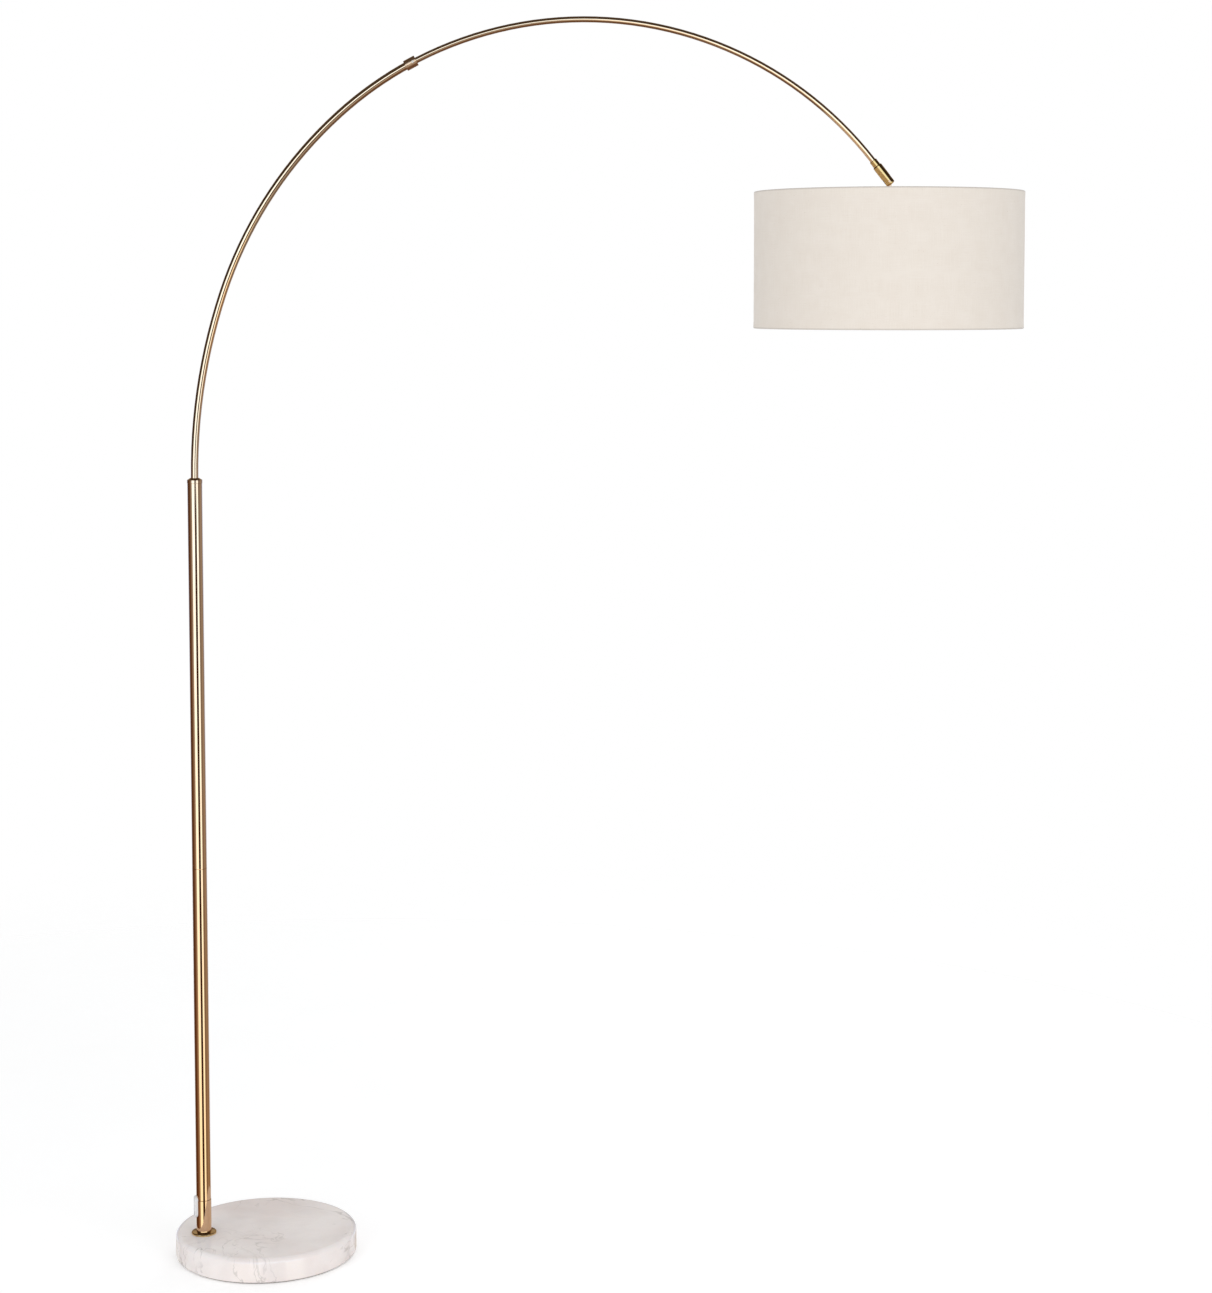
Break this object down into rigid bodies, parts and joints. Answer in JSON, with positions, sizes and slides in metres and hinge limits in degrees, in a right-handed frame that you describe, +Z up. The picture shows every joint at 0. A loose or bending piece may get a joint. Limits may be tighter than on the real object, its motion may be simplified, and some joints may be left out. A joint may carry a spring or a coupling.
{
  "type": "arc floor lamp",
  "caption": "Floor lamp with a round marble base, an upright brass pole, a telescoping curved arm and a linen drum shade hung from a tilting knuckle.",
  "frame": {"origin": "centre of the round base's underside, on the floor", "axes": "+Z up; +X from the pole towards the shade, in the plane of the curved arm; +Y to the back"},
  "size_m": [1.4421, 0.45, 2.1178],
  "materials": {
    "marble": "polished pale marble with faint grey veins",
    "felt": "dark felt",
    "brass": "aged satin brass, brushed along the tube",
    "bright_brass": "polished brass",
    "steel": "zinc-plated steel",
    "white_plastic": "moulded white plastic",
    "black_plastic": "moulded black plastic",
    "cable": "extruded dark sheath",
    "ceramic": "unglazed porcelain",
    "white_wire": "white enamelled wire",
    "styrene": "white satin laminate",
    "linen": "natural linen with slubs",
    "bulb_glass": "opal white glass",
    "cap_metal": "nickel-plated screw cap"
  },
  "bodies": {
    "stand": {"marble_base": "marble", "base_pad": "felt", "base_washer": "steel", "base_nut": "steel", "base_stud": "steel", "base_flange": "bright_brass", "pole_foot": "brass", "pole_lower": "brass", "cord_outlet_bush": "white_plastic", "pole_coupling": "steel", "pole_upper": "brass", "pole_top_cap": "brass", "arm_bush": "black_plastic", "pole_cable": "cable"},
    "lower_arm": {"lower_arc": "brass", "lower_cable": "cable", "arm_collar": "brass", "collar_screw": "brass"},
    "upper_arm": {"upper_arc": "brass", "upper_cable": "cable", "arc_ferrule": "brass", "knuckle_body": "brass", "knuckle_pin": "brass", "tilt_washers": "black_plastic"},
    "shade": {"tilt_tongue": "brass", "tongue_cup": "brass", "holder_nipple": "brass", "holder_cap": "brass", "holder_shell": "white_plastic", "holder_core": "ceramic", "holder_contact": "bright_brass", "holder_cable": "cable", "shade_ring": "white_plastic", "spider": "white_wire", "top_ring": "white_wire", "bottom_ring": "white_wire", "shade_liner": "styrene", "shade_fabric": "linen", "bulb_glass": "bulb_glass", "bulb_cap": "cap_metal"}
  },
  "joints": [
    {"name": "arm_swivel", "type": "hinge", "parent": "stand", "child": "lower_arm", "pos_m": [-0.10408, -0.02808, 1.3], "axis": [0, 0, 1], "range_deg": [-90, 90]},
    {"name": "arm_extend", "type": "hinge", "parent": "lower_arm", "child": "upper_arm", "pos_m": [0.55338, -0.02808, 1.49929], "axis": [0, -1, 0], "range_deg": [0, 9]},
    {"name": "shade_tilt", "type": "hinge", "parent": "upper_arm", "child": "shade", "pos_m": [1.06211, -0.02808, 1.845], "axis": [0, 1, 0], "range_deg": [-25, 25]}
  ]
}
